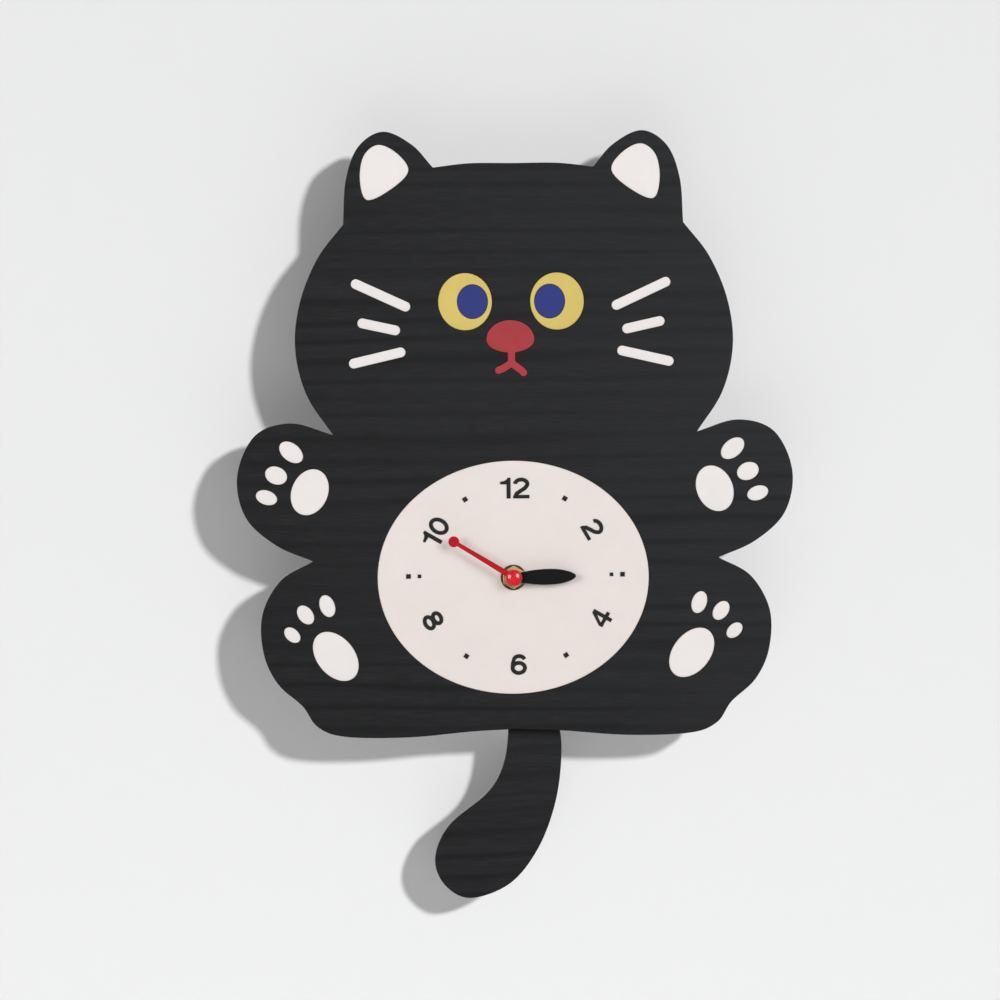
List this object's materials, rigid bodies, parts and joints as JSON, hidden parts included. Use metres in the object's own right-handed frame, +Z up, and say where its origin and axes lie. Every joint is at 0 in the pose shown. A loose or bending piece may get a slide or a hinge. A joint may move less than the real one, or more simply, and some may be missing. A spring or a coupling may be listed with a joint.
{
  "type": "pendulum wall clock",
  "caption": "Flat wall clock cut as a sitting cat, with an oval dial on its belly, inlaid face and paws, a battery movement behind and a tail that swings below.",
  "frame": {"origin": "centre of the hanging hole's mouth, in the plane of the wall", "axes": "+Z up, +X to the right for someone facing the clock, +Y into the wall; the dial faces -Y"},
  "size_m": [0.2784, 0.0356, 0.3844],
  "materials": {
    "black_stained_wood": "black stained plywood, satin, with faint horizontal grain",
    "cream_board": "smooth matt cream board",
    "white_inlay": "smooth matt off-white board",
    "yellow_inlay": "smooth matt yellow board",
    "blue_inlay": "smooth matt blue board",
    "red_inlay": "smooth matt red board",
    "black_print": "matt black",
    "black_hand": "satin black paint on metal",
    "red_hand": "gloss red paint",
    "red_cap": "gloss red",
    "brass": "bright machined brass",
    "gasket_rubber": "matt black rubber",
    "bumper_rubber": "matt black rubber",
    "case_plastic": "fine-textured black plastic",
    "gear_plastic": "natural acetal",
    "knob_plastic": "satin off-white plastic",
    "arm_plastic": "satin natural plastic",
    "steel": "plain steel",
    "magnet": "dark nickel plating",
    "copper_wire": "enamelled copper winding",
    "green_board": "green solder mask",
    "epoxy": "black epoxy",
    "battery_wrap": "plain dark wrap, no lettering",
    "pine": "bare light wood"
  },
  "bodies": {
    "clock_frame": {"fascia_board": "black_stained_wood", "backing_board": "black_stained_wood", "inner_ear_left": "white_inlay", "inner_ear_right": "white_inlay", "eye_left": "yellow_inlay", "eye_right": "yellow_inlay", "pupil_left": "blue_inlay", "pupil_right": "blue_inlay", "nose_mouth": "red_inlay", "whiskers_left": "white_inlay", "whiskers_right": "white_inlay", "front_paw_left": "white_inlay", "front_paw_right": "white_inlay", "hind_paw_left": "white_inlay", "hind_paw_right": "white_inlay", "dial": "cream_board", "dial_numerals": "black_print", "dial_marks": "black_print", "hex_nut": "brass", "washer": "brass", "gasket": "gasket_rubber", "threaded_bushing": "brass", "front_case": "case_plastic", "rear_cover": "case_plastic", "case_screws": "steel", "train_bridge": "gear_plastic", "stator": "steel", "drive_coil": "copper_wire", "circuit_board": "green_board", "chip": "epoxy", "quartz_crystal": "steel", "battery": "battery_wrap", "battery_contact_positive": "steel", "battery_spring_negative": "steel", "pendulum_pin": "steel", "pendulum_coil": "copper_wire", "upper_spacer": "pine", "hanger_plate": "steel", "hanger_screws": "steel", "lower_spacers": "pine", "wall_bumpers": "bumper_rubber"},
    "minute_arbor": {"centre_wheel": "gear_plastic", "minute_hand": "red_hand", "hand_cap": "red_cap"},
    "hour_arbor": {"hour_wheel": "gear_plastic", "hour_hand": "black_hand"},
    "motion_arbor": {"motion_work_wheel": "gear_plastic", "setting_knob": "knob_plastic"},
    "third_arbor": {"third_wheel": "gear_plastic"},
    "second_arbor": {"second_wheel": "gear_plastic"},
    "intermediate_arbor": {"intermediate_wheel": "gear_plastic"},
    "rotor": {"rotor_pinion": "gear_plastic", "rotor_magnet": "magnet"},
    "pendulum": {"pendulum_arm": "arm_plastic", "pendulum_magnet": "magnet", "tail": "black_stained_wood", "tail_screws": "steel"}
  },
  "joints": [
    {"name": "minute_hand_turn", "type": "hinge", "parent": "clock_frame", "child": "minute_arbor", "pos_m": [-0.0015, -0.012, -0.15], "axis": [0, 1, 0], "continuous": true},
    {"name": "hour_hand_turn", "type": "hinge", "parent": "clock_frame", "child": "hour_arbor", "pos_m": [-0.0015, -0.012, -0.15], "axis": [0, 1, 0], "continuous": true},
    {"name": "setting_knob_turn", "type": "hinge", "parent": "clock_frame", "child": "motion_arbor", "pos_m": [0.0075, -0.012, -0.15], "axis": [0, 1, 0], "continuous": true},
    {"name": "third_wheel_turn", "type": "hinge", "parent": "clock_frame", "child": "third_arbor", "pos_m": [-0.0105, -0.012, -0.15], "axis": [0, 1, 0], "continuous": true},
    {"name": "second_wheel_turn", "type": "hinge", "parent": "clock_frame", "child": "second_arbor", "pos_m": [-0.0015, -0.012, -0.15], "axis": [0, 1, 0], "continuous": true},
    {"name": "intermediate_wheel_turn", "type": "hinge", "parent": "clock_frame", "child": "intermediate_arbor", "pos_m": [-0.0015, -0.012, -0.1575], "axis": [0, 1, 0], "continuous": true},
    {"name": "rotor_turn", "type": "hinge", "parent": "clock_frame", "child": "rotor", "pos_m": [0.00456, -0.012, -0.161], "axis": [0, 1, 0], "continuous": true},
    {"name": "tail_swing", "type": "hinge", "parent": "clock_frame", "child": "pendulum", "pos_m": [-0.0015, -0.012, -0.18], "axis": [0, 1, 0], "range_deg": [-12, 12]}
  ],
  "couplings": [
    {"joint": "hour_hand_turn", "follows": "minute_hand_turn", "ratio": 0.083333},
    {"joint": "setting_knob_turn", "follows": "minute_hand_turn", "ratio": -0.33333},
    {"joint": "third_wheel_turn", "follows": "minute_hand_turn", "ratio": -7.5},
    {"joint": "second_wheel_turn", "follows": "minute_hand_turn", "ratio": 60},
    {"joint": "intermediate_wheel_turn", "follows": "minute_hand_turn", "ratio": -300},
    {"joint": "rotor_turn", "follows": "minute_hand_turn", "ratio": 1800}
  ]
}
